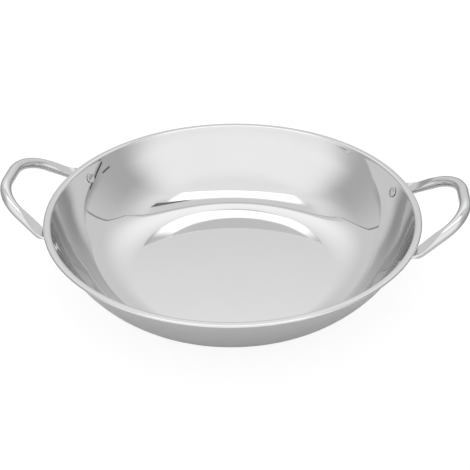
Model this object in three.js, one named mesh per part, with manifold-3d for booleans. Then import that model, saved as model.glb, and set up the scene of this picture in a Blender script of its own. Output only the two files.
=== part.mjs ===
// A stainless steel wok: one sheet-metal bowl with a rolled rim, and two tube
// loop handles whose flattened ends are riveted to the wall under the rim.
// Millimetres, +Z up, base centre at the origin, handles along the X axis.

import * as THREE from 'three';
import { mergeVertices } from 'three/addons/utils/BufferGeometryUtils.js';
import Module from 'manifold-3d';

const wasm = await Module();
wasm.setup();

// Bowl: the underside runs from the flat base through two arcs to the rim.
const SHEET_THICKNESS = 1;
const BASE_FLAT_RADIUS = 100.5;
const SHOULDER_RADIUS = 61.7;
const SHOULDER_SWEEP_DEG = 45.9;
const WALL_RADIUS = 118.5;
const WALL_SWEEP_DEG = 28.1;

// Rolled rim: the sheet folds outwards, runs level and curls down.
const RIM_BEND_RADIUS = 0.9;
const RIM_LEVEL_WIDTH = 3.7;
const RIM_CURL_SWEEP_DEG = 75;

// Handle tube and its pressed ends.
const TUBE_DIAMETER = 10.4;
const TUBE_WALL = 1;
const TAB_THICKNESS = 2.4;
const TAB_SLOPE_DEG = 45;
const TAB_END_LENGTH = 9;
const TAB_LEAD_LENGTH = 5;
const TAB_BEND_RADIUS = 5;
const LEG_PRESSED_RUN = 8;
const LEG_ROUND_RUN = 50;
const LEG_TWIST_RUN = 20;
const TAB_TIP_WIDTH = 8;
const TAB_TIP_LENGTH = 4;
const TAB_SQUARENESS = 6;

// Handle loop: a rounded trapezoid in a plane that rises away from the bowl.
const LOOP_TILT_DEG = 32.1;
const LOOP_REACH = 55;
const GRIP_WIDTH = 73;
const GRIP_CORNER_RADIUS = 40;

// Rivets.
const RIVET_ANGLE_DEG = 22.4;
const RIVET_DROP = 13.1;
const RIVET_SHANK_DIAMETER = 5;
const RIVET_HEAD_DIAMETER = 10.5;
const RIVET_HEAD_HEIGHT = 1;
const RIVET_TAIL_DIAMETER = 7;
const RIVET_TAIL_HEIGHT = 1.6;

// Clearance left between two pieces that touch on the real pan.
const CLEARANCE = 0.3;

// Facets.
const BOWL_SEGMENTS = 72;
const SHOULDER_STEPS = 8;
const WALL_STEPS = 6;
const RIM_STEPS = 4;
const TUBE_SEGMENTS = 14;
const TIP_STEPS = 2;
const TAB_STEPS = 1;
const BEND_STEPS = 3;
const LEG_STEPS = 6;
const CORNER_STEPS = 7;
const RIVET_SEGMENTS = 20;
const RIVET_DOME_STEPS = 3;

const STEEL_COLOR = 0xc9cacc;
const STEEL_ROUGHNESS = 0.12;
const STEEL_METALNESS = 1;

const { clamp, degToRad, lerp, smoothstep } = THREE.MathUtils;
const UP = new THREE.Vector3(0, 0, 1);
const MIRROR_Y = new THREE.Vector3(1, -1, 1);

// Stations along the sheet's underside, each with its radius, height and slope.
class SheetPath {
  constructor() {
    this.stations = [{ r: 0, z: 0, slope: 0 }];
  }

  get end() {
    return this.stations[this.stations.length - 1];
  }

  straight(length) {
    const { r, z, slope } = this.end;
    this.stations.push({
      r: r + length * Math.cos(slope),
      z: z + length * Math.sin(slope),
      slope,
    });
    return this;
  }

  // A positive sweep turns up, a negative one turns down.
  arc(radius, sweep, steps) {
    const start = this.end;
    const signed = Math.sign(sweep) * radius;
    for (let i = 1; i <= steps; i += 1) {
      const slope = start.slope + (sweep * i) / steps;
      this.stations.push({
        r: start.r + signed * (Math.sin(slope) - Math.sin(start.slope)),
        z: start.z + signed * (Math.cos(start.slope) - Math.cos(slope)),
        slope,
      });
    }
    return this;
  }

  underside() {
    return this.stations.map(({ r, z }) => new THREE.Vector2(r, z));
  }

  topside(thickness) {
    return this.stations.map(({ r, z, slope }) => new THREE.Vector2(
      r - thickness * Math.sin(slope),
      z + thickness * Math.cos(slope),
    ));
  }
}

const shoulderSweep = degToRad(SHOULDER_SWEEP_DEG);
const wallSweep = degToRad(WALL_SWEEP_DEG);
const wallTopSlope = shoulderSweep + wallSweep;

const sheet = new SheetPath()
  .straight(BASE_FLAT_RADIUS)
  .arc(SHOULDER_RADIUS, shoulderSweep, SHOULDER_STEPS);
const wallFoot = sheet.end;
sheet
  .arc(WALL_RADIUS, wallSweep, WALL_STEPS)
  .arc(RIM_BEND_RADIUS, -wallTopSlope, RIM_STEPS)
  .straight(RIM_LEVEL_WIDTH);
const rimTop = sheet.end.z + SHEET_THICKNESS;
sheet.arc(RIM_BEND_RADIUS, -degToRad(RIM_CURL_SWEEP_DEG), RIM_STEPS);

// The wall's outside at a height: its radius and slope.
function wallAt(height) {
  const slope = Math.acos(Math.cos(wallFoot.slope) - (height - wallFoot.z) / WALL_RADIUS);
  const radius = wallFoot.r + WALL_RADIUS * (Math.sin(slope) - Math.sin(wallFoot.slope));
  return { radius, slope };
}

// A lathe about +Z from a profile of radius and height.
function lathe(profile, segments) {
  return new THREE.LatheGeometry(profile, segments).rotateX(Math.PI / 2);
}

function toSolid(geometry) {
  const bare = geometry.clone();
  bare.deleteAttribute('normal');
  bare.deleteAttribute('uv');
  const welded = mergeVertices(bare);
  return new wasm.Manifold(new wasm.Mesh({
    numProp: 3,
    vertProperties: new Float32Array(welded.attributes.position.array),
    triVerts: new Uint32Array(welded.index.array),
  }));
}

function toGeometry(solid) {
  const mesh = solid.getMesh();
  const geometry = new THREE.BufferGeometry();
  geometry.setAttribute('position', new THREE.BufferAttribute(mesh.vertProperties, mesh.numProp));
  geometry.setIndex(new THREE.BufferAttribute(mesh.triVerts, 1));
  geometry.computeVertexNormals();
  return geometry;
}

function cut(geometry, tools) {
  let solid = toSolid(geometry);
  for (const tool of tools) {
    solid = solid.subtract(toSolid(tool));
  }
  return toGeometry(solid);
}

// The seat of the right-hand handle's back rivet on the wall's outside.
const rivetAngle = degToRad(RIVET_ANGLE_DEG);
const rivetHeight = rimTop - RIVET_DROP;
const rivetWall = wallAt(rivetHeight);
const seat = new THREE.Vector3(
  rivetWall.radius * Math.cos(rivetAngle),
  rivetWall.radius * Math.sin(rivetAngle),
  rivetHeight,
);
const seatNormal = new THREE.Vector3(
  Math.sin(rivetWall.slope) * Math.cos(rivetAngle),
  Math.sin(rivetWall.slope) * Math.sin(rivetAngle),
  -Math.cos(rivetWall.slope),
);
const seatAlong = new THREE.Vector3(-Math.sin(rivetAngle), Math.cos(rivetAngle), 0);
const seatDown = new THREE.Vector3().crossVectors(seatNormal, seatAlong).negate();

// Mirrored and turned copies of that seat give all four rivets.
const seats = ['back', 'front'].flatMap((end) => ['right', 'left'].map((side) => {
  const turn = side === 'right' ? 0 : Math.PI;
  const mirrored = (side === 'right') === (end === 'front');
  const flip = mirrored ? MIRROR_Y : new THREE.Vector3(1, 1, 1);
  return {
    name: `rivet_${side}_${end}`,
    point: seat.clone().multiply(flip).applyAxisAngle(UP, turn),
    normal: seatNormal.clone().multiply(flip).applyAxisAngle(UP, turn),
  };
}));

// The tube's centre line from the pressed end to the middle of the grip.
const tabCentre = seat.clone().addScaledVector(seatNormal, CLEARANCE + TAB_THICKNESS / 2);
const tabSlope = degToRad(TAB_SLOPE_DEG);
const tabDirection = new THREE.Vector3()
  .addScaledVector(seatAlong, Math.cos(tabSlope))
  .addScaledVector(seatDown, Math.sin(tabSlope));
const tabEnd = tabCentre.clone().addScaledVector(tabDirection, TAB_END_LENGTH);
const bendCorner = tabCentre.clone().addScaledVector(tabDirection, -TAB_LEAD_LENGTH);

const loopTilt = degToRad(LOOP_TILT_DEG);
const gripCorner = new THREE.Vector3(
  bendCorner.x + LOOP_REACH,
  GRIP_WIDTH / 2,
  bendCorner.z + LOOP_REACH * Math.tan(loopTilt),
);
const gripMiddle = new THREE.Vector3(gripCorner.x, 0, gripCorner.z);

// A corner between two straight runs, rounded to a radius.
function roundedCorner(before, corner, after, radius) {
  const back = before.clone().sub(corner).normalize();
  const on = after.clone().sub(corner).normalize();
  const half = back.angleTo(on) / 2;
  const reach = radius / Math.tan(half);
  const bisector = back.clone().add(on).normalize();
  const centre = corner.clone().addScaledVector(bisector, radius / Math.sin(half));
  const start = corner.clone().addScaledVector(back, reach);
  const axis = new THREE.Vector3().crossVectors(on, back).normalize();
  const sweep = Math.PI - 2 * half;
  const spoke = start.clone().sub(centre);
  return {
    start,
    end: corner.clone().addScaledVector(on, reach),
    length: sweep * radius,
    at: (t) => spoke.clone().applyAxisAngle(axis, sweep * t).add(centre),
    turn: (vector, t) => vector.clone().applyAxisAngle(axis, sweep * t),
  };
}

const bend = roundedCorner(tabEnd, bendCorner, gripCorner, TAB_BEND_RADIUS);
const corner = roundedCorner(bendCorner, gripCorner, gripMiddle, GRIP_CORNER_RADIUS);

const legRun = bend.end.distanceTo(corner.start);

// The press fades along the leg and ends in the corner, where the tube is round.
function pressAt(run) {
  return 1 - clamp((run - LEG_PRESSED_RUN) / (LEG_ROUND_RUN - LEG_PRESSED_RUN), 0, 1);
}

// Stations of half the tube. Thin points across the pressed metal, square to the
// wall at the tab and to the loop's plane past the rim, and press runs from 0 for
// the round tube to 1 for the tab.
const loopUnderside = new THREE.Vector3(Math.sin(loopTilt), 0, -Math.cos(loopTilt));
const half = [];

function addStation(point, thin, travel, press, tip) {
  const wide = new THREE.Vector3().crossVectors(travel, thin);
  half.push({ point, thin, wide, press, tip });
}

const tabTravel = tabDirection.clone().negate();
const tabStraight = tabEnd.distanceTo(bend.start);
for (let i = 0; i < TIP_STEPS; i += 1) {
  const run = (TAB_TIP_LENGTH * i) / TIP_STEPS;
  const tip = Math.sqrt(1 - (1 - i / TIP_STEPS) ** 2);
  addStation(tabEnd.clone().addScaledVector(tabTravel, run), seatNormal, tabTravel, 1, tip);
}
for (let i = 0; i < TAB_STEPS; i += 1) {
  const run = lerp(TAB_TIP_LENGTH, tabStraight, i / TAB_STEPS);
  addStation(tabEnd.clone().addScaledVector(tabTravel, run), seatNormal, tabTravel, 1, 1);
}
for (let i = 0; i < BEND_STEPS; i += 1) {
  const t = i / BEND_STEPS;
  addStation(bend.at(t), bend.turn(seatNormal, t), bend.turn(tabTravel, t), 1, 1);
}
const legTravel = bend.turn(tabTravel, 1);
for (let i = 0; i < LEG_STEPS; i += 1) {
  const run = (legRun * i) / LEG_STEPS;
  const twist = smoothstep(run, 0, LEG_TWIST_RUN);
  const thin = bend.turn(seatNormal, 1).lerp(loopUnderside, twist).normalize();
  addStation(bend.end.clone().addScaledVector(legTravel, run), thin, legTravel, pressAt(run), 1);
}
for (let i = 0; i <= CORNER_STEPS; i += 1) {
  const t = i / CORNER_STEPS;
  const press = pressAt(legRun + corner.length * t);
  addStation(corner.at(t), loopUnderside, corner.turn(legTravel, t), press, 1);
}
addStation(gripMiddle, loopUnderside, corner.turn(legTravel, 1), 0, 1);

const mirrored = half.slice(0, -1).reverse().map((station) => ({
  ...station,
  point: station.point.clone().multiply(MIRROR_Y),
  thin: station.thin.clone().multiply(MIRROR_Y),
  wide: station.wide.clone().multiply(MIRROR_Y),
}));
const stations = [...half, ...mirrored];

// Pressing keeps the tube's girth, so the tab is wider than the tube.
const tabWidth = TAB_THICKNESS + (Math.PI * (TUBE_DIAMETER - TAB_THICKNESS)) / 2;

// One ring of the tube's skin, set in from the outside by an inset. The press works
// more from above, so a half-pressed ring lies lower than the tube's centre line.
function ring({ point, thin, wide, press, tip }, inset) {
  const outerDepth = lerp(TUBE_DIAMETER, TAB_THICKNESS, press) / 2;
  const depth = outerDepth - inset;
  const sink = (outerDepth - TAB_THICKNESS / 2) * press;
  const fullWidth = lerp(TUBE_DIAMETER, tabWidth, press);
  const width = lerp(TAB_TIP_WIDTH, fullWidth, tip) / 2 - inset;
  const power = 2 / lerp(2, TAB_SQUARENESS, press);
  return Array.from({ length: TUBE_SEGMENTS }, (_, k) => {
    const angle = (2 * Math.PI * k) / TUBE_SEGMENTS;
    const c = Math.cos(angle);
    const s = Math.sin(angle);
    return point.clone()
      .addScaledVector(thin, sink + depth * Math.sign(c) * Math.abs(c) ** power)
      .addScaledVector(wide, width * Math.sign(s) * Math.abs(s) ** power);
  });
}

// The tube as a closed skin: outside, bore and the two open ends.
function tubeGeometry() {
  const outer = stations.map((station) => ring(station, 0));
  const inner = stations.map((station) => ring(station, TUBE_WALL));
  const points = [...outer, ...inner].flat();
  const outerAt = (i, k) => i * TUBE_SEGMENTS + (k % TUBE_SEGMENTS);
  const innerAt = (i, k) => outerAt(i + stations.length, k);
  const index = [];
  const quad = (a, b, c, d) => index.push(a, b, c, a, c, d);
  const last = stations.length - 1;
  for (let k = 0; k < TUBE_SEGMENTS; k += 1) {
    for (let i = 0; i < last; i += 1) {
      quad(outerAt(i, k), outerAt(i, k + 1), outerAt(i + 1, k + 1), outerAt(i + 1, k));
      quad(innerAt(i, k), innerAt(i + 1, k), innerAt(i + 1, k + 1), innerAt(i, k + 1));
    }
    quad(outerAt(0, k), innerAt(0, k), innerAt(0, k + 1), outerAt(0, k + 1));
    quad(outerAt(last, k), outerAt(last, k + 1), innerAt(last, k + 1), innerAt(last, k));
  }
  const geometry = new THREE.BufferGeometry().setFromPoints(points);
  geometry.setIndex(index);
  return geometry;
}

// A rivet about +Z, which points out of the bowl from the wall's outside.
function rivetGeometry() {
  const headRadius = RIVET_HEAD_DIAMETER / 2;
  const tailRadius = RIVET_TAIL_DIAMETER / 2;
  const shankRadius = RIVET_SHANK_DIAMETER / 2;
  const wallSag = headRadius ** 2 / (2 * (WALL_RADIUS - SHEET_THICKNESS));
  const facetSag = rivetWall.radius * (1 - Math.cos(Math.PI / BOWL_SEGMENTS));
  const headSeat = -(SHEET_THICKNESS + CLEARANCE + wallSag + facetSag);
  const tailSeat = CLEARANCE + TAB_THICKNESS + CLEARANCE;
  const profile = [];
  for (let i = 0; i <= RIVET_DOME_STEPS; i += 1) {
    const angle = (Math.PI / 2) * (1 - i / RIVET_DOME_STEPS);
    profile.push(new THREE.Vector2(
      i === 0 ? 0 : headRadius * Math.cos(angle),
      headSeat - RIVET_HEAD_HEIGHT * Math.sin(angle),
    ));
  }
  profile.push(new THREE.Vector2(shankRadius, headSeat));
  profile.push(new THREE.Vector2(shankRadius, tailSeat));
  for (let i = 0; i <= RIVET_DOME_STEPS; i += 1) {
    const angle = (Math.PI / 2) * (i / RIVET_DOME_STEPS);
    profile.push(new THREE.Vector2(
      i === RIVET_DOME_STEPS ? 0 : tailRadius * Math.cos(angle),
      tailSeat + RIVET_TAIL_HEIGHT * Math.sin(angle),
    ));
  }
  return lathe(profile, RIVET_SEGMENTS);
}

// A cutter for one rivet hole, long enough to pass the sheet and the tab.
function holeCutter({ point, normal }) {
  const radius = RIVET_SHANK_DIAMETER / 2 + CLEARANCE;
  const length = 2 * (RIVET_TAIL_DIAMETER + TAB_THICKNESS);
  const cutter = new THREE.CylinderGeometry(radius, radius, length, RIVET_SEGMENTS);
  const turn = new THREE.Quaternion().setFromUnitVectors(new THREE.Vector3(0, 1, 0), normal);
  return cutter.applyQuaternion(turn).translate(point.x, point.y, point.z);
}

function steelMesh(name, geometry) {
  const mesh = new THREE.Mesh(geometry, new THREE.MeshStandardMaterial({
    color: STEEL_COLOR,
    roughness: STEEL_ROUGHNESS,
    metalness: STEEL_METALNESS,
  }));
  mesh.name = name;
  return mesh;
}

const wok = new THREE.Group();
wok.name = 'wok';

const sheetProfile = [...sheet.underside(), ...sheet.topside(SHEET_THICKNESS).reverse()];
const cutters = seats.map(holeCutter);
wok.add(steelMesh('bowl', cut(lathe(sheetProfile, BOWL_SEGMENTS), cutters)));

const rightCutters = seats.filter(({ name }) => name.includes('right')).map(holeCutter);
const handle = cut(tubeGeometry(), rightCutters);
const rightHandle = steelMesh('handle_right', handle);
const leftHandle = steelMesh('handle_left', handle.clone());
leftHandle.rotation.z = Math.PI;
wok.add(rightHandle, leftHandle);

for (const { name, point, normal } of seats) {
  const rivet = steelMesh(name, rivetGeometry());
  rivet.position.copy(point);
  rivet.quaternion.setFromUnitVectors(UP, normal);
  wok.add(rivet);
}

export default wok;
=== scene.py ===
"""Polished stainless steel wok: a spun bowl with a rolled rim, two bent tube handles
with pressed ends, and the four rivets that hold them.

Sizes are in millimetres and become metres where a mesh is made. The frame is that of
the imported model: +Z up, the base's centre at the origin, the handles along X.
"""

import logging
import math
from collections.abc import Sequence
from dataclasses import dataclass, field
from enum import Enum

import bmesh
import bpy
from mathutils import Matrix, Quaternion, Vector


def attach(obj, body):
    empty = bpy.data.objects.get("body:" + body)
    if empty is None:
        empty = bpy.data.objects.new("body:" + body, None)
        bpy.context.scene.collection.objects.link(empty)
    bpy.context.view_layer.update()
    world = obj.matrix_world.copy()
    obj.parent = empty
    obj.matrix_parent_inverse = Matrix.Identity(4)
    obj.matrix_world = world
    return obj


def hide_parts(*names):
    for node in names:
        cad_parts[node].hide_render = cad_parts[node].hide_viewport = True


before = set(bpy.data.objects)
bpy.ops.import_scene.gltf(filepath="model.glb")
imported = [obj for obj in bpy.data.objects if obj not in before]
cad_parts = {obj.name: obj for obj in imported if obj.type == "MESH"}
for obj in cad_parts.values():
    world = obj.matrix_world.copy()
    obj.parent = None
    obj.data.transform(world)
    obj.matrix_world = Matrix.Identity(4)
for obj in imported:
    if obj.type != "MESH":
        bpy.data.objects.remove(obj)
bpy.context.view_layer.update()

LOG = logging.getLogger("wok")
MM = 0.001
WELD = 1e-6
SMOOTH_ANGLE = math.radians(40)
WAVE_LENGTH = math.tau / 20
MIRROR_BOUNCES = 16
BODY = "root"


class Side(Enum):
    """The side of the pan that a handle is on, with its turn about +Z."""

    RIGHT = 0.0
    LEFT = math.pi


class End(Enum):
    """The leg of a handle, with the sign of its place along Y."""

    BACK = 1
    FRONT = -1


class Measure(Enum):
    """A number by which a direction of the studio is placed."""

    HEIGHT = "up"
    BACKWARD = "share of the level part that points to the back"
    WALL_ACROSS = "sideways on an upright plane at the back"
    WALL_UP = "upwards on an upright plane at the back"
    TOP_ACROSS = "sideways on a level plane overhead"
    TOP_BACK = "backwards on a level plane overhead"
    SIDE_ACROSS = "backwards on an upright plane at the right"
    SIDE_UP = "upwards on an upright plane at the right"


def linear(hex_colour: int) -> tuple[float, float, float, float]:
    """Turn an sRGB colour into linear light.

    Args:
        hex_colour: The colour as 0xRRGGBB.

    Returns:
        Red, green, blue and an alpha of 1.
    """
    parts = [(hex_colour >> shift & 255) / 255 for shift in (16, 8, 0)]
    light = [c / 12.92 if c <= 0.04045 else ((c + 0.055) / 1.055) ** 2.4 for c in parts]
    return (*light, 1.0)


def smooth(value: float, start: float, end: float) -> float:
    """Ease a value from 0 at start to 1 at end.

    Args:
        value: The value to ease.
        start: Where the result leaves 0.
        end: Where the result reaches 1.

    Returns:
        The eased share.
    """
    share = min(max((value - start) / (end - start), 0.0), 1.0)
    return share * share * (3 - 2 * share)


def mix(start: float, end: float, share: float) -> float:
    """Give the value that lies a share of the way from start to end."""
    return start + (end - start) * share


def add_node(tree: bpy.types.NodeTree, kind: str, inputs: dict | None = None,
             **settings: object) -> bpy.types.Node:
    """Add a node with its settings, values and links.

    Args:
        tree: The tree that takes the node.
        kind: The node's type.
        inputs: Values or sockets for its inputs, by name or index.
        **settings: Properties of the node.

    Returns:
        The new node.
    """
    node = tree.nodes.new(kind)
    for name, value in settings.items():
        setattr(node, name, value)
    for key, value in (inputs or {}).items():
        if isinstance(value, bpy.types.NodeSocket):
            tree.links.new(value, node.inputs[key])
        else:
            node.inputs[key].default_value = value
    return node


def take_up(*pieces: bpy.types.Object) -> None:
    """Select these objects alone and make the first the active one.

    Args:
        *pieces: The objects. With none, nothing stays selected.
    """
    if bpy.context.mode != "OBJECT":
        bpy.ops.object.mode_set(mode="OBJECT")
    bpy.ops.object.select_all(action="DESELECT")
    for piece in pieces:
        piece.select_set(True)
    if pieces:
        bpy.context.view_layer.objects.active = pieces[0]


def settle(piece: bpy.types.Object) -> None:
    """Put a piece's place, turn and scale into its mesh."""
    take_up(piece)
    bpy.ops.object.transform_apply(location=True, rotation=True, scale=True)


def name_piece(name: str) -> bpy.types.Object:
    """Name the active object and its mesh.

    Args:
        name: The piece's name.

    Returns:
        The active object.
    """
    piece = bpy.context.active_object
    piece.name = name
    piece.data.name = name
    return piece


def spin_profile(name: str, profile: Sequence[tuple[float, float]], segments: int) -> bpy.types.Object:
    """Spin a chain of points about +Z, from one point on the axis to another.

    Args:
        name: The piece's name.
        profile: Radius and height of each point, in millimetres.
        segments: Steps of the full turn.

    Returns:
        The piece, closed and facing outwards.
    """
    points = [Vector((r, 0.0, z)) * MM for r, z in profile]
    take_up()
    bpy.ops.mesh.primitive_plane_add(size=MM, location=points[0])
    piece = name_piece(name)
    settle(piece)
    bpy.ops.object.mode_set(mode="EDIT")
    bpy.ops.mesh.select_all(action="SELECT")
    bpy.ops.mesh.merge(type="CENTER")
    for start, end in zip(points, points[1:]):
        bpy.ops.mesh.extrude_region_move(TRANSFORM_OT_translate={"value": end - start})
    bpy.ops.mesh.select_all(action="SELECT")
    bpy.ops.mesh.spin(steps=segments, angle=math.tau, center=(0, 0, 0), axis=(0, 0, 1))
    bpy.ops.mesh.select_all(action="SELECT")
    bpy.ops.mesh.remove_doubles(threshold=WELD)
    bpy.ops.mesh.normals_make_consistent(inside=False)
    bpy.ops.object.mode_set(mode="OBJECT")
    return piece


def finish_skin(piece: bpy.types.Object) -> None:
    """Shade a piece smooth, with its sharp edges kept."""
    take_up(piece)
    bpy.ops.object.shade_smooth_by_angle(angle=SMOOTH_ANGLE)


@dataclass(frozen=True)
class PolishedSteel:
    """Stainless steel 18/8, polished on buffing wheels to a mirror.

    It is a neutral, slightly dark mirror. The wheels leave a faint haze that comes and
    goes over the sheet, and shallow lines along their travel, which fray the edges of
    the reflections a little. The lines are drawn coarser than real ones, which are too
    fine to show.

    Attributes:
        name: The material's name.
        colour: Its reflectance as an sRGB colour.
        haze_colour: The same where the polish is less clear.
        roughness: Roughness of clear polish.
        haze: Roughness where the polish is less clear.
        haze_size: Size of the hazy patches, in millimetres.
        line_spacing: Distance between polishing lines, in millimetres.
        line_depth: Depth of those lines, in millimetres.
        ripple_size: Size of the sheet's slight waves, in millimetres.
        ripple_depth: Depth of those waves, in millimetres.
    """

    name: str
    colour: int
    haze_colour: int
    roughness: float
    haze: float
    haze_size: float
    line_spacing: float
    line_depth: float
    ripple_size: float
    ripple_depth: float

    def material(self) -> bpy.types.Material:
        """Build the material's nodes.

        Returns:
            The material.
        """
        material = bpy.data.materials.new(self.name)
        material.use_nodes = True
        tree = material.node_tree
        tree.nodes.clear()
        place = add_node(tree, "ShaderNodeTexCoord").outputs["Object"]
        patches = add_node(tree, "ShaderNodeTexNoise", {
            "Vector": place, "Scale": 1 / (self.haze_size * MM), "Detail": 4.0, "Roughness": 0.55})
        tone = add_node(tree, "ShaderNodeMix", {
            0: patches.outputs[0], 6: linear(self.colour), 7: linear(self.haze_colour)}, data_type="RGBA")
        lines = add_node(tree, "ShaderNodeTexWave", {
            "Vector": place, "Scale": WAVE_LENGTH / (self.line_spacing * MM), "Distortion": 1.5,
            "Detail": 3.0, "Detail Scale": 0.6}, wave_type="RINGS", rings_direction="Z")
        polish = add_node(tree, "ShaderNodeMath", {
            0: patches.outputs[0], 1: lines.outputs["Fac"]}, operation="MULTIPLY")
        gloss = add_node(tree, "ShaderNodeMapRange", {
            "Value": polish.outputs[0], "From Min": 0.1, "From Max": 0.7,
            "To Min": self.roughness, "To Max": self.haze})
        waves = add_node(tree, "ShaderNodeTexNoise", {
            "Vector": place, "Scale": 1 / (self.ripple_size * MM), "Detail": 1.0})
        ripple = add_node(tree, "ShaderNodeBump", {
            "Strength": 1.0, "Distance": self.ripple_depth * MM, "Height": waves.outputs[0]})
        scratch = add_node(tree, "ShaderNodeBump", {
            "Strength": 1.0, "Distance": self.line_depth * MM, "Height": lines.outputs["Fac"],
            "Normal": ripple.outputs[0]})
        steel = add_node(tree, "ShaderNodeBsdfPrincipled", {
            "Base Color": tone.outputs[2], "Metallic": 1.0, "Roughness": gloss.outputs[0],
            "Normal": scratch.outputs[0]})
        add_node(tree, "ShaderNodeOutputMaterial", {"Surface": steel.outputs[0]})
        return material


BOWL_STEEL = PolishedSteel(
    name="mirror_polished_sheet", colour=0xD8D8D8, haze_colour=0xD4D4D4, roughness=0.03, haze=0.05,
    haze_size=60, line_spacing=2.5, line_depth=0.00005, ripple_size=90, ripple_depth=0.004)
HANDLE_STEEL = PolishedSteel(
    name="polished_tube", colour=0xD8D8D8, haze_colour=0xD2D2D2, roughness=0.10, haze=0.17,
    haze_size=18, line_spacing=2.0, line_depth=0.0001, ripple_size=25, ripple_depth=0.01)
RIVET_STEEL = PolishedSteel(
    name="polished_rivet", colour=0xD4D4D4, haze_colour=0xCCCCCC, roughness=0.07, haze=0.12,
    haze_size=6, line_spacing=1.5, line_depth=0.0001, ripple_size=6, ripple_depth=0.01)


@dataclass(frozen=True)
class Station:
    """A place on the sheet's underside.

    Attributes:
        r: Its radius.
        z: Its height.
        slope: The sheet's slope there, in radians.
    """

    r: float
    z: float
    slope: float

    def above(self, depth: float) -> tuple[float, float]:
        """Give the radius and height of the point a depth above this one, square to the sheet."""
        return self.r - depth * math.sin(self.slope), self.z + depth * math.cos(self.slope)


@dataclass
class SheetPath:
    """The run of the sheet's underside from the axis outwards.

    Attributes:
        stations: The stations so far.
    """

    stations: list[Station] = field(default_factory=lambda: [Station(0.0, 0.0, 0.0)])

    @property
    def end(self) -> Station:
        """The last station."""
        return self.stations[-1]

    def straight(self, length: float, steps: int = 1) -> "SheetPath":
        """Run on without turning.

        Args:
            length: Length of the run.
            steps: Stations along it.

        Returns:
            The path itself.
        """
        start = self.end
        for i in range(1, steps + 1):
            run = length * i / steps
            r = start.r + run * math.cos(start.slope)
            z = start.z + run * math.sin(start.slope)
            self.stations.append(Station(r, z, start.slope))
        return self

    def arc(self, radius: float, sweep: float, steps: int) -> "SheetPath":
        """Turn up along an arc, or down where the sweep is negative.

        Args:
            radius: Radius of the underside.
            sweep: Angle of the turn in degrees.
            steps: Stations along it.

        Returns:
            The path itself.
        """
        start = self.end
        signed = math.copysign(radius, sweep)
        for i in range(1, steps + 1):
            slope = start.slope + math.radians(sweep) * i / steps
            r = start.r + signed * (math.sin(slope) - math.sin(start.slope))
            z = start.z + signed * (math.cos(start.slope) - math.cos(slope))
            self.stations.append(Station(r, z, slope))
        return self


@dataclass(frozen=True)
class RivetSeat:
    """Where a rivet's axis crosses the wall's outside.

    Attributes:
        side: The handle's side.
        end: The handle's leg.
        point: The place, in millimetres.
        normal: Out of the bowl, square to the wall.
        along: Level, along the wall, to larger angles about +Z.
    """

    side: Side
    end: End
    point: Vector
    normal: Vector
    along: Vector

    @property
    def label(self) -> str:
        """The seat's side and leg as a piece's name has them."""
        return f"{self.side.name}_{self.end.name}".lower()

    @property
    def turn(self) -> Quaternion:
        """The turn that takes +Z to the seat's normal."""
        return self.normal.to_track_quat("Z", "Y")


def drill(piece: bpy.types.Object, seats: Sequence[RivetSeat], diameter: float, length: float) -> None:
    """Cut rivet holes through a piece.

    Args:
        piece: The piece to cut.
        seats: Where the holes are.
        diameter: Their diameter.
        length: Length of the drill.
    """
    drills = []
    for seat in seats:
        take_up()
        bpy.ops.mesh.primitive_cylinder_add(
            vertices=48, radius=diameter / 2 * MM, depth=length * MM,
            location=seat.point * MM, rotation=seat.turn.to_euler())
        drills.append(bpy.context.active_object)
    take_up(*drills)
    if len(drills) > 1:
        bpy.ops.object.join()
    drill_bit = bpy.context.active_object
    take_up(piece)
    bpy.ops.object.modifier_add(type="BOOLEAN")
    hole = piece.modifiers[-1]
    hole.object = drill_bit
    hole.operation = "DIFFERENCE"
    hole.solver = "EXACT"
    bpy.ops.object.modifier_apply(modifier=hole.name)
    bpy.data.objects.remove(drill_bit)
    bpy.ops.object.mode_set(mode="EDIT")
    bpy.ops.mesh.select_all(action="SELECT")
    bpy.ops.mesh.remove_doubles(threshold=WELD)
    bpy.ops.mesh.dissolve_degenerate(threshold=WELD)
    bpy.ops.object.mode_set(mode="OBJECT")


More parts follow.
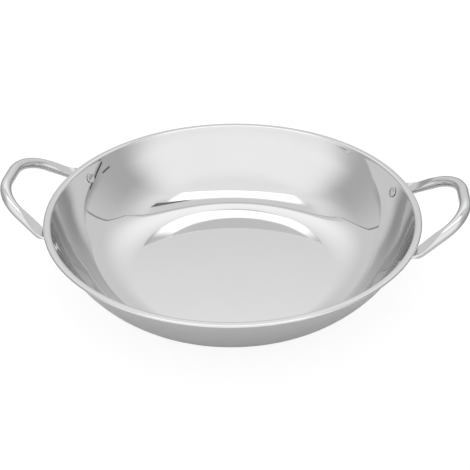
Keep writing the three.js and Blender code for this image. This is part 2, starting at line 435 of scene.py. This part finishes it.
@dataclass
class Bowl:
    """The pan: one sheet spun to a flat base, a curved wall and a rolled rim.

    Attributes:
        finish: Its steel.
        sheet: The sheet's thickness.
        base_radius: Radius of the flat base.
        base_edge: Width of the base's last ring, which keeps the base flat up to the turn.
        shoulder_radius: Radius of the turn from the base to the wall, outside.
        shoulder_sweep: Angle of that turn.
        wall_radius: Radius of the wall's curve, outside.
        wall_sweep: Angle of that curve.
        upper_radius: Radius of the straighter upper wall, outside.
        upper_sweep: Angle of that curve.
        rim_bend: Radius of the rim's inner bend, underneath.
        rim_edge: Radius of its outer bend, underneath.
        rim_level: Width of the rim's level top.
        rim_curl: Angle by which the edge curls down.
        rivet_angle: Angle of the rivets from the X axis.
        rivet_drop: Height of the rim over the rivets' seats.
        hole: Diameter of the rivet holes.
        segments: Steps of the spin.
    """

    finish: PolishedSteel
    sheet: float = 1.0
    base_radius: float = 100.5
    base_edge: float = 0.15
    shoulder_radius: float = 61.7
    shoulder_sweep: float = 45.9
    wall_radius: float = 118.5
    wall_sweep: float = 20.6
    upper_radius: float = 180.0
    upper_sweep: float = 4.79
    rim_bend: float = 1.8
    rim_edge: float = 0.9
    rim_level: float = 2.66
    rim_curl: float = 75.0
    rivet_angle: float = 22.4
    rivet_drop: float = 13.1
    hole: float = 5.6
    segments: int = 288

    def path(self) -> SheetPath:
        """Draw the sheet's underside from the axis to the rim's edge.

        Returns:
            The path.
        """
        path = SheetPath().straight(self.base_radius - self.base_edge, steps=8).straight(self.base_edge)
        path.arc(self.shoulder_radius, self.shoulder_sweep, steps=40)
        path.arc(self.wall_radius, self.wall_sweep, steps=28)
        path.arc(self.upper_radius, self.upper_sweep, steps=10)
        path.arc(self.rim_bend, -math.degrees(path.end.slope), steps=12)
        path.straight(self.rim_level, steps=4)
        path.arc(self.rim_edge, -self.rim_curl, steps=12)
        return path

    def seat(self, side: Side, end: End) -> RivetSeat:
        """Place a rivet's seat on the wall.

        Args:
            side: The handle's side.
            end: The handle's leg.

        Returns:
            The seat.
        """
        turn = SheetPath().straight(self.base_radius).arc(self.shoulder_radius, self.shoulder_sweep, steps=1)
        foot = turn.arc(self.wall_radius, self.wall_sweep, steps=1).end
        top = max(station.above(self.sheet)[1] for station in self.path().stations)
        height = top - self.rivet_drop
        slope = math.acos(math.cos(foot.slope) - (height - foot.z) / self.upper_radius)
        radius = foot.r + self.upper_radius * (math.sin(slope) - math.sin(foot.slope))
        angle = side.value + math.cos(side.value) * end.value * math.radians(self.rivet_angle)
        out = Vector((math.cos(angle), math.sin(angle), 0.0))
        return RivetSeat(side, end, out * radius + Vector((0.0, 0.0, height)),
                         out * math.sin(slope) - Vector((0.0, 0.0, math.cos(slope))),
                         Vector((-math.sin(angle), math.cos(angle), 0.0)))

    def build(self) -> bpy.types.Object:
        """Spin the sheet, drill it and dress it.

        Returns:
            The bowl.
        """
        stations = self.path().stations
        profile = [(s.r, s.z) for s in stations] + [s.above(self.sheet) for s in reversed(stations)]
        piece = spin_profile("wok_bowl", profile, self.segments)
        seats = [self.seat(side, end) for side in Side for end in End]
        drill(piece, seats, self.hole, 2 * self.hole)
        finish_skin(piece)
        self.dress(piece)
        return piece

    def dress(self, piece: bpy.types.Object) -> None:
        """Give the bowl its steel and its place in the frame.

        Args:
            piece: The bowl.
        """
        piece.data.materials.clear()
        piece.data.materials.append(self.finish.material())
        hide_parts("bowl")
        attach(piece, BODY)


@dataclass(frozen=True)
class Corner:
    """A rounded corner between two straight runs.

    Attributes:
        centre: Centre of the arc.
        start: Where the arc starts.
        end: Where it ends.
        axis: Axis of the turn.
        sweep: Angle of the turn.
    """

    centre: Vector
    start: Vector
    end: Vector
    axis: Vector
    sweep: float

    @classmethod
    def between(cls, before: Vector, corner: Vector, after: Vector, radius: float) -> "Corner":
        """Round a corner to a radius.

        Args:
            before: A point on the first run.
            corner: Where the two runs meet.
            after: A point on the second run.
            radius: Radius of the arc.

        Returns:
            The rounded corner.
        """
        back = (before - corner).normalized()
        on = (after - corner).normalized()
        half = back.angle(on) / 2
        centre = corner + (back + on).normalized() * (radius / math.sin(half))
        reach = radius / math.tan(half)
        return cls(centre, corner + back * reach, corner + on * reach,
                   on.cross(back).normalized(), math.pi - 2 * half)

    def at(self, share: float) -> Vector:
        """Give the point a share of the way round."""
        return self.centre + self.turned(self.start - self.centre, share)

    def turned(self, vector: Vector, share: float) -> Vector:
        """Turn a vector by a share of the corner's angle."""
        return Quaternion(self.axis, self.sweep * share) @ vector


@dataclass(frozen=True)
class TubeRing:
    """A section of the tube.

    Attributes:
        point: Its centre.
        thin: Across the pressed metal.
        wide: Along the pressed metal's width.
        press: From 0 for the round tube to 1 for the tab.
        tip: From 0 at the tab's very end to 1 past its rounding.
    """

    point: Vector
    thin: Vector
    wide: Vector
    press: float
    tip: float = 1.0

    def mirrored(self) -> "TubeRing":
        """Give the same section on the other leg."""
        point, thin, wide = (Vector((v.x, -v.y, v.z)) for v in (self.point, self.thin, self.wide))
        return TubeRing(point, thin, wide, self.press, self.tip)


@dataclass
class LoopHandles:
    """Two loops of bent tube whose pressed ends lie on the wall under the rim.

    Attributes:
        finish: Their steel.
        seat: The right handle's back rivet.
        tube: The tube's diameter.
        wall: The tube's wall.
        tab_thickness: Thickness of the pressed ends.
        tab_slope: Angle of the ends below the level line along the wall.
        tab_end: Length of an end below its rivet.
        tab_lead: Length above the rivet, up to the bend.
        tab_bend: Radius of the bend under the rim.
        pressed_run: Length of leg past the bend that stays pressed.
        round_run: Length of leg past the bend at which the tube is round.
        twist_run: Length of leg in which the pressed metal turns to the loop's plane.
        tip_width: Width of the tab at its very end.
        tip_length: Length of the tab's rounding.
        tilt: Angle of the loop above the level.
        reach: Level reach of the loop from the bend.
        grip_width: Width of the loop at the grip's corners.
        corner_radius: Radius of those corners.
        clearance: Gap between wall and tab.
        hole: Diameter of the rivet holes.
        top_press: Press at which the flat on top is full.
        base_power: How late the flat underneath comes, as a power of the press.
        least_flat: Least half angle of a flat, in radians.
        segments: Points of each section's top, outer side, base and inner side.
        tip_steps: Sections of the tab's rounding.
        tab_steps: Sections of the tab.
        bend_steps: Sections of the bend under the rim.
        leg_steps: Sections of the straight leg.
        corner_steps: Sections of the grip's corner.
        bore_stride: Sections of the outside for each one of the bore.
    """

    finish: PolishedSteel
    seat: RivetSeat
    tube: float = 10.4
    wall: float = 1.0
    tab_thickness: float = 2.4
    tab_slope: float = 45.0
    tab_end: float = 9.0
    tab_lead: float = 5.0
    tab_bend: float = 5.0
    pressed_run: float = 8.0
    round_run: float = 50.0
    twist_run: float = 20.0
    tip_width: float = 8.0
    tip_length: float = 4.0
    tilt: float = 32.1
    reach: float = 55.0
    grip_width: float = 73.0
    corner_radius: float = 40.0
    clearance: float = 0.3
    hole: float = 5.6
    top_press: float = 0.8
    base_power: int = 6
    least_flat: float = 0.2
    segments: tuple[int, ...] = (8, 20, 8, 20)
    tip_steps: int = 8
    tab_steps: int = 3
    bend_steps: int = 12
    leg_steps: int = 40
    corner_steps: int = 48
    bore_stride: int = 3

    def leg(self) -> list[TubeRing]:
        """Lay out the back leg's sections.

        Returns:
            The sections, from the tab's end to the grip's middle.
        """
        seat = self.seat
        slope = math.radians(self.tab_slope)
        down = seat.along.cross(seat.normal)
        run_down = seat.along * math.cos(slope) + down * math.sin(slope)
        centre = seat.point + seat.normal * (self.clearance + self.tab_thickness / 2)
        end = centre + run_down * self.tab_end
        bend_at = centre - run_down * self.tab_lead
        rise = self.reach * math.tan(math.radians(self.tilt))
        grip_at = Vector((bend_at.x + self.reach, self.grip_width / 2, bend_at.z + rise))
        middle = Vector((grip_at.x, 0.0, grip_at.z))
        bend = Corner.between(end, bend_at, grip_at, self.tab_bend)
        corner = Corner.between(bend_at, grip_at, middle, self.corner_radius)
        under = Vector((math.sin(math.radians(self.tilt)), 0.0, -math.cos(math.radians(self.tilt))))
        rings: list[TubeRing] = []

        def press_at(run: float) -> float:
            """Give the press at a length past the bend. It ends in the corner."""
            return 1 - min(max((run - self.pressed_run) / (self.round_run - self.pressed_run), 0.0), 1.0)

        def add(point: Vector, thin: Vector, travel: Vector, press: float, tip: float = 1.0) -> None:
            """Add a section that the tube passes through along a direction."""
            rings.append(TubeRing(point, thin, travel.cross(thin), press, tip))

        travel = -run_down
        for i in range(self.tip_steps):
            share = i / self.tip_steps
            tip = math.sqrt(1 - (1 - share) ** 2)
            add(end + travel * (self.tip_length * share), seat.normal, travel, 1.0, tip)
        straight = (bend.start - end).length
        for i in range(self.tab_steps):
            run = mix(self.tip_length, straight, i / self.tab_steps)
            add(end + travel * run, seat.normal, travel, 1.0)
        for i in range(self.bend_steps):
            share = i / self.bend_steps
            add(bend.at(share), bend.turned(seat.normal, share), bend.turned(travel, share), 1.0)
        flat = bend.turned(seat.normal, 1.0)
        travel = bend.turned(travel, 1.0)
        length = (corner.start - bend.end).length
        for i in range(self.leg_steps):
            run = length * i / self.leg_steps
            thin = flat.lerp(under, smooth(run, 0.0, self.twist_run)).normalized()
            add(bend.end + travel * run, thin, travel, press_at(run))
        for i in range(self.corner_steps + 1):
            share = i / self.corner_steps
            press = press_at(length + self.corner_radius * corner.sweep * share)
            add(corner.at(share), under, corner.turned(travel, share), press)
        add(middle, under, corner.turned(travel, 1.0), 0.0)
        return rings

    def section(self, ring: TubeRing, inset: float) -> list[Vector]:
        """Draw a section: an oval with a flat pressed into its top, and into its base near the tab.

        Args:
            ring: The section's place and press.
            inset: Distance of the drawn skin under the tube's outside.

        Returns:
            The section's points, in metres.
        """
        tab_width = self.tab_thickness + math.pi * (self.tube - self.tab_thickness) / 2
        above = mix(self.tube, self.tab_thickness, smooth(ring.press, 0.0, self.top_press)) / 2
        below = mix(self.tube, self.tab_thickness, ring.press ** self.base_power) / 2
        width = mix(self.tip_width, mix(self.tube, tab_width, ring.press), ring.tip) / 2 - inset
        top = max(math.acos(above * 2 / self.tube), self.least_flat)
        base = max(math.acos(below * 2 / self.tube), self.least_flat)
        marks = (-top, top, math.pi - base, math.pi + base, math.tau - top)
        points = []
        for start, end, steps in zip(marks, marks[1:], self.segments):
            for i in range(steps):
                angle = mix(start, end, i / steps)
                depth = -math.cos(angle) * (self.tube / 2 - inset)
                depth = min(max(depth, inset - above), below - inset)
                point = ring.point + ring.thin * depth + ring.wide * (width * math.sin(angle))
                points.append(point * MM)
        return points

    def build(self, other: RivetSeat) -> list[bpy.types.Object]:
        """Extrude the right handle section by section, and copy it for the left.

        Args:
            other: The right handle's front rivet.

        Returns:
            The right and the left handle.
        """
        half = self.leg()
        rings = half + [ring.mirrored() for ring in reversed(half[:-1])]
        outside = [self.section(ring, 0.0) for ring in rings]
        inner = [rings[-1], *rings[-self.bore_stride:1:-self.bore_stride], rings[0]]
        bore = [self.section(ring, self.wall) for ring in inner]
        sections = [*outside, *bore, outside[0]]
        take_up()
        bpy.ops.mesh.primitive_circle_add(vertices=sum(self.segments), radius=self.tube / 2 * MM)
        piece = name_piece("loop_handle_right")
        bpy.ops.object.mode_set(mode="EDIT")
        skin = bmesh.from_edit_mesh(piece.data)
        mark = skin.verts.layers.int.new("place_in_section")
        for k, vertex in enumerate(skin.verts):
            vertex[mark] = k
        for i, points in enumerate(sections):
            if i:
                bpy.ops.mesh.extrude_region_move()
            skin = bmesh.from_edit_mesh(piece.data)
            mark = skin.verts.layers.int["place_in_section"]
            for vertex in skin.verts:
                if vertex.select:
                    vertex.co = points[vertex[mark]]
        bpy.ops.mesh.select_all(action="SELECT")
        bpy.ops.mesh.remove_doubles(threshold=WELD)
        bpy.ops.mesh.normals_make_consistent(inside=False)
        bpy.ops.object.mode_set(mode="OBJECT")
        piece.data.attributes.remove(piece.data.attributes["place_in_section"])
        drill(piece, [self.seat, other], self.hole, 2 * self.hole)
        finish_skin(piece)
        take_up(piece)
        bpy.ops.object.duplicate()
        copy = name_piece("loop_handle_left")
        copy.rotation_euler.z = Side.LEFT.value
        settle(copy)
        steel = self.finish.material()
        for handle, node in ((piece, "handle_right"), (copy, "handle_left")):
            self.dress(handle, node, steel)
        return [piece, copy]

    def dress(self, piece: bpy.types.Object, node: str, steel: bpy.types.Material) -> None:
        """Give a handle its steel and its place in the frame.

        Args:
            piece: The handle.
            node: The solid that it replaces.
            steel: Its material.
        """
        piece.data.materials.clear()
        piece.data.materials.append(steel)
        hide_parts(node)
        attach(piece, BODY)


@dataclass
class Rivets:
    """The four rivets, each with a low head inside the bowl and a set tail outside.

    Attributes:
        finish: Their steel.
        shank: The shank's diameter.
        head: The head's diameter.
        head_height: The head's height.
        head_flat: Share of the head's radius up to its rounded edge.
        crown: Share of the head's height in its slight crown.
        tail: The tail's diameter.
        tail_height: The tail's height.
        under_head: Depth of the head's seat inside the wall's outside.
        under_tail: Height of the tail's seat over the wall's outside.
        crown_steps: Points of the crown.
        round_steps: Points of the head's edge and of the tail.
        segments: Steps of the spin.
    """

    finish: PolishedSteel
    shank: float = 5.0
    head: float = 10.5
    head_height: float = 1.0
    head_flat: float = 0.7
    crown: float = 0.25
    tail: float = 7.0
    tail_height: float = 1.6
    under_head: float = 1.57
    under_tail: float = 3.0
    crown_steps: int = 8
    round_steps: int = 12
    segments: int = 64

    def profile(self) -> list[tuple[float, float]]:
        """Draw a rivet about +Z, which points out of the bowl.

        Returns:
            Radius and height of each point, from the head's middle to the tail's.
        """
        edge = self.head / 2 * (1 - self.head_flat)
        crown = self.head_height * self.crown
        points = [(0.0, -self.under_head - self.head_height)]
        for i in range(1, self.crown_steps + 1):
            share = i / self.crown_steps
            points.append((self.head / 2 * self.head_flat * share,
                           -self.under_head - self.head_height + crown * share ** 2))
        side = self.head_height - crown
        for i in range(1, self.round_steps + 1):
            turn = math.pi / 2 * i / self.round_steps
            points.append((self.head / 2 - edge + edge * math.sin(turn),
                           -self.under_head - side * math.cos(turn)))
        points += [(self.shank / 2, -self.under_head), (self.shank / 2, self.under_tail)]
        for i in range(self.round_steps + 1):
            turn = math.pi / 2 * i / self.round_steps
            points.append((self.tail / 2 * math.cos(turn),
                           self.under_tail + self.tail_height * math.sin(turn)))
        return points

    def build(self, seats: Sequence[RivetSeat]) -> list[bpy.types.Object]:
        """Spin one rivet and set copies of it in the seats.

        Args:
            seats: The seats.

        Returns:
            The rivets.
        """
        pattern = spin_profile("rivet", self.profile(), self.segments)
        finish_skin(pattern)
        steel = self.finish.material()
        pieces = []
        for seat in seats:
            take_up(pattern)
            bpy.ops.object.duplicate()
            piece = name_piece(f"set_rivet_{seat.label}")
            piece.matrix_world = Matrix.LocRotScale(seat.point * MM, seat.turn, None)
            settle(piece)
            self.dress(piece, f"rivet_{seat.label}", steel)
            pieces.append(piece)
        bpy.data.objects.remove(pattern)
        return pieces

    def dress(self, piece: bpy.types.Object, node: str, steel: bpy.types.Material) -> None:
        """Give a rivet its steel and its place in the frame.

        Args:
            piece: The rivet.
            node: The solid that it replaces.
            steel: Its material.
        """
        piece.data.materials.clear()
        piece.data.materials.append(steel)
        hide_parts(node)
        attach(piece, BODY)


@dataclass(frozen=True)
class Edge:
    """A soft edge of a lit area: none of it at start, all of it at full.

    Attributes:
        measure: The number by which the edge is placed.
        start: Where the area starts to show.
        full: Where it shows in full.
        lean: How much of another number is added, which slants the edge.
        other: That other number.
    """

    measure: Measure
    start: float
    full: float
    lean: float = 0.0
    other: Measure = Measure.HEIGHT


@dataclass(frozen=True)
class LitArea:
    """A part of the studio with its own light level, laid over those before it.

    Attributes:
        level: Its light level.
        edges: The edges that bound it.
    """

    level: float
    edges: tuple[Edge, ...]


def back_panel(inset: float, soft: float) -> tuple[Edge, ...]:
    """Give the edges of the large upright panel behind the pan.

    Its sides lean outwards and its upper corners are cut off.

    Args:
        inset: Distance of the edges inside the panel's outline.
        soft: Half the width over which an edge fades.

    Returns:
        The edges.
    """
    across, up = Measure.WALL_ACROSS, Measure.WALL_UP
    outline = ((across, 1.30, -0.20, up), (across, 3.40, 1.0, up), (up, 2.16, 0.08, across))
    left = ((across, -1.33, 0.36, up), (across, -4.20, -1.0, up))
    return (*(Edge(measure, end - inset + soft, end - inset - soft, lean, other)
              for measure, end, lean, other in outline),
            *(Edge(measure, end + inset - soft, end + inset + soft, lean, other)
              for measure, end, lean, other in left))


def bar(across: tuple[float, float], up: float, half: float, lean: float) -> tuple[Edge, ...]:
    """Give the edges of a narrow bar on the upright plane at the right.

    Args:
        across: Where it starts and ends.
        up: Its height at the plane's middle.
        half: Half its width.
        lean: How much it sinks along its run.

    Returns:
        The edges.
    """
    start, end = across
    outer, inner = half * 1.6, half * 0.6
    return (Edge(Measure.SIDE_ACROSS, start - half, start + half),
            Edge(Measure.SIDE_ACROSS, end + half, end - half),
            Edge(Measure.SIDE_UP, up - outer, up - inner, lean, Measure.SIDE_ACROSS),
            Edge(Measure.SIDE_UP, up + outer, up + inner, lean, Measure.SIDE_ACROSS))


FRONT_SHEET = Edge(Measure.BACKWARD, -0.06, -0.65)


@dataclass
class Studio:
    """A plain pale floor, a room of soft light, and the camera.

    Attributes:
        floor_colour: The floor's colour under the pan.
        floor_painted_shade: Painted shade: its darker colour away from the pan, where the lamps reach it
            less, seen only by rays other than the camera's.
        floor_size: The floor's side in metres.
        floor_drop: Depth of the floor under the base in metres.
        floor_lift: Share of plain white in the floor as the camera sees it.
        floor_white: Strength of that white.
        floor_shade_reach: Distances from the middle between which the painted shade darkens the floor, in
            metres.
        floor_shade_behind: Places along Y between which it does so, in metres.
        walls: Light level of the room's grey walls.
        areas: The lit areas, in the order in which they cover each other.
        eye: The camera's place in millimetres.
        right: The camera's right.
        up: The camera's up.
        lens: The camera's focal length in millimetres.
        sensor: Width of its sensor in millimetres.
    """

    floor_colour: int = 0xE4E4E4
    floor_painted_shade: int = 0xA2A2A2
    floor_size: float = 12.0
    floor_drop: float = 0.0001
    floor_lift: float = 0.8
    floor_white: float = 1.1
    floor_shade_reach: tuple[float, float] = (0.20, 0.34)
    floor_shade_behind: tuple[float, float] = (-0.20, 0.05)
    walls: float = 0.56
    areas: tuple[LitArea, ...] = (
        LitArea(1.08, (Edge(Measure.HEIGHT, 0.46, 0.9),)),
        LitArea(0.82, (Edge(Measure.BACKWARD, 0.0, 0.75), Edge(Measure.HEIGHT, 0.9, 0.6))),
        LitArea(1.12, (FRONT_SHEET,)),
        LitArea(1.21, (FRONT_SHEET, Edge(Measure.HEIGHT, 0.1, 0.3))),
        LitArea(1.10, (FRONT_SHEET, Edge(Measure.HEIGHT, 0.72, 0.9))),
        LitArea(0.87, (Edge(Measure.TOP_BACK, 0.05, 0.20), Edge(Measure.TOP_ACROSS, -0.75, -0.45),
                       Edge(Measure.TOP_ACROSS, 0.75, 0.45), Edge(Measure.HEIGHT, 0.80, 0.88))),
        LitArea(0.30, (*back_panel(0.0, 0.012), Edge(Measure.WALL_UP, 0.15, 0.4))),
        LitArea(0.83, back_panel(0.05, 0.02)),
        LitArea(1.30, (*back_panel(0.05, 0.04), Edge(Measure.HEIGHT, 0.42, 0.84),
                       Edge(Measure.WALL_UP, 1.95, 1.78), Edge(Measure.WALL_ACROSS, 1.7, 0.3),
                       Edge(Measure.WALL_ACROSS, -2.2, -0.5))),
        LitArea(0.45, (Edge(Measure.BACKWARD, 0.1, 0.4), Edge(Measure.HEIGHT, 0.20, 0.10))),
        LitArea(0.04, bar((0.13, 0.46), 0.004, 0.008, -0.225)),
        LitArea(0.10, bar((0.06, 0.18), 0.122, 0.007, 0.08)),
        LitArea(2.4, (Edge(Measure.TOP_ACROSS, -0.53, -0.37), Edge(Measure.TOP_ACROSS, 0.46, 0.35),
                      Edge(Measure.TOP_BACK, -0.09, -0.05), Edge(Measure.TOP_BACK, 0.26, 0.11))),
        LitArea(0.22, (Edge(Measure.TOP_ACROSS, 0.16, 0.26), Edge(Measure.TOP_ACROSS, 0.57, 0.54),
                       Edge(Measure.TOP_BACK, 0.19, 0.205),
                       Edge(Measure.TOP_BACK, 0.195, 0.175, -0.22, Measure.TOP_ACROSS))),
    )
    eye: tuple[float, float, float] = (85.15, -745.05, 536.7)
    right: tuple[float, float, float] = (0.99446, 0.10477, -0.00901)
    up: tuple[float, float, float] = (-0.05053, 0.55115, 0.83288)
    lens: float = 70.23
    sensor: float = 36.0

    def build(self) -> None:
        """Set up the floor, the light and the camera."""
        self.lay_floor()
        self.hang_lights()
        self.place_camera()

    def lay_floor(self) -> None:
        """Lay the floor: matt white paper that keeps the pan's shadow, with painted shade that darkens it
        away from the pan in reflections.
        """
        take_up()
        bpy.ops.mesh.primitive_plane_add(size=self.floor_size, location=(0.0, 0.0, -self.floor_drop))
        floor = name_piece("floor")
        settle(floor)
        material = bpy.data.materials.new("matt_white_paper")
        material.use_nodes = True
        tree = material.node_tree
        tree.nodes.clear()
        seen = add_node(tree, "ShaderNodeLightPath").outputs["Is Camera Ray"]
        share = add_node(tree, "ShaderNodeMath", {0: seen, 1: self.floor_lift}, operation="MULTIPLY")
        place = add_node(tree, "ShaderNodeTexCoord").outputs["Object"]
        reach = add_node(tree, "ShaderNodeVectorMath", {0: place}, operation="LENGTH").outputs["Value"]
        away = add_node(tree, "ShaderNodeMapRange", {
            "Value": reach, "From Min": self.floor_shade_reach[0], "From Max": self.floor_shade_reach[1]},
            interpolation_type="SMOOTHSTEP")
        depth = add_node(tree, "ShaderNodeSeparateXYZ", {0: place}).outputs[1]
        behind = add_node(tree, "ShaderNodeMapRange", {
            "Value": depth, "From Min": self.floor_shade_behind[0], "From Max": self.floor_shade_behind[1]},
            interpolation_type="SMOOTHSTEP")
        # Painted shade: away from the pan, and most of all behind it, the paper's colour darkens for every
        # ray but the camera's.
        painted_shade_zone = add_node(tree, "ShaderNodeMath", {
            0: away.outputs[0], 1: behind.outputs[0]}, operation="MULTIPLY")
        hidden = add_node(tree, "ShaderNodeMath", {0: 1.0, 1: seen}, operation="SUBTRACT")
        painted_shade_share = add_node(tree, "ShaderNodeMath", {
            0: painted_shade_zone.outputs[0], 1: hidden.outputs[0]}, operation="MULTIPLY")
        tone = add_node(tree, "ShaderNodeMix", {
            0: painted_shade_share.outputs[0], 6: linear(self.floor_colour), 7: linear(self.floor_painted_shade)},
            data_type="RGBA")
        paper = add_node(tree, "ShaderNodeBsdfDiffuse", {"Color": tone.outputs[2]})
        white = add_node(tree, "ShaderNodeEmission", {"Strength": self.floor_white})
        both = add_node(tree, "ShaderNodeMixShader", {
            0: share.outputs[0], 1: paper.outputs[0], 2: white.outputs[0]})
        add_node(tree, "ShaderNodeOutputMaterial", {"Surface": both.outputs[0]})
        floor.data.materials.append(material)

    def measures(self, tree: bpy.types.NodeTree) -> dict[Measure, bpy.types.NodeSocket]:
        """Work out every measure of a direction.

        Args:
            tree: The world's nodes.

        Returns:
            The socket of each measure.
        """
        way = add_node(tree, "ShaderNodeTexCoord").outputs["Generated"]
        x, y, z = add_node(tree, "ShaderNodeSeparateXYZ", {0: way}).outputs
        level = add_node(tree, "ShaderNodeVectorMath", {0: way, 1: (1.0, 1.0, 0.0)}, operation="MULTIPLY")
        level = add_node(tree, "ShaderNodeVectorMath", {0: level.outputs[0]}, operation="NORMALIZE")
        backward = add_node(tree, "ShaderNodeSeparateXYZ", {0: level.outputs[0]}).outputs[1]
        found = {Measure.HEIGHT: z, Measure.BACKWARD: backward}
        least = 0.001
        back = add_node(tree, "ShaderNodeMath", {0: y, 1: least}, operation="MAXIMUM").outputs[0]
        top = add_node(tree, "ShaderNodeMath", {0: z, 1: least}, operation="MAXIMUM").outputs[0]
        side = add_node(tree, "ShaderNodeMath", {0: x, 1: least}, operation="MAXIMUM").outputs[0]
        for measure, part, whole in ((Measure.WALL_ACROSS, x, back), (Measure.WALL_UP, z, back),
                                     (Measure.TOP_ACROSS, x, top), (Measure.TOP_BACK, y, top),
                                     (Measure.SIDE_ACROSS, y, side), (Measure.SIDE_UP, z, side)):
            ratio = add_node(tree, "ShaderNodeMath", {0: part, 1: whole}, operation="DIVIDE")
            found[measure] = ratio.outputs[0]
        return found

    def hang_lights(self) -> None:
        """Light the room by direction: walls, sheets and a softbox. The camera sees plain white."""
        world = bpy.data.worlds.new("soft_studio")
        bpy.context.scene.world = world
        world.use_nodes = True
        tree = world.node_tree
        tree.nodes.clear()
        measures = self.measures(tree)
        light: float | bpy.types.NodeSocket = self.walls
        for area in self.areas:
            cover: float | bpy.types.NodeSocket = 1.0
            for edge in area.edges:
                value = add_node(tree, "ShaderNodeMath", {
                    0: measures[edge.other], 1: edge.lean, 2: measures[edge.measure]},
                    operation="MULTIPLY_ADD")
                fade = add_node(tree, "ShaderNodeMapRange", {
                    "Value": value.outputs[0], "From Min": edge.start, "From Max": edge.full},
                    interpolation_type="SMOOTHSTEP")
                cover = add_node(tree, "ShaderNodeMath", {0: cover, 1: fade.outputs[0]},
                                 operation="MULTIPLY").outputs[0]
            light = add_node(tree, "ShaderNodeMix", {0: cover, 2: light, 3: area.level}).outputs[0]
        seen = add_node(tree, "ShaderNodeLightPath").outputs["Is Camera Ray"]
        shown = add_node(tree, "ShaderNodeMix", {0: seen, 2: light, 3: 1.0})
        glow = add_node(tree, "ShaderNodeBackground", {"Strength": shown.outputs[0]})
        glow.inputs["Color"].default_value = (1.0, 1.0, 1.0, 1.0)
        add_node(tree, "ShaderNodeOutputWorld", {"Surface": glow.outputs[0]})

    def place_camera(self) -> None:
        """Set the camera at the photograph's point of view."""
        right, up = Vector(self.right), Vector(self.up)
        turn = Matrix((right, up, right.cross(up))).transposed()
        take_up()
        bpy.ops.object.camera_add()
        camera = bpy.context.active_object
        camera.matrix_world = Matrix.LocRotScale(Vector(self.eye) * MM, turn.to_quaternion(), None)
        camera.data.sensor_width = self.sensor
        camera.data.lens = self.lens
        bpy.context.scene.camera = camera


def main() -> None:
    """Build the wok and its studio."""
    logging.basicConfig(level=logging.INFO)
    bpy.context.scene.view_settings.view_transform = "Standard"
    bpy.context.scene.cycles.max_bounces = MIRROR_BOUNCES
    bpy.context.scene.cycles.glossy_bounces = MIRROR_BOUNCES
    bowl = Bowl(BOWL_STEEL)
    seats = [bowl.seat(side, end) for side in Side for end in End]
    handles = LoopHandles(HANDLE_STEEL, bowl.seat(Side.RIGHT, End.BACK))
    pieces = [bowl.build()]
    pieces += handles.build(bowl.seat(Side.RIGHT, End.FRONT))
    pieces += Rivets(RIVET_STEEL).build(seats)
    for piece in pieces:
        LOG.info("%s: %d faces", piece.name, len(piece.data.polygons))
    Studio().build()


if __name__ == "__main__":
    main()
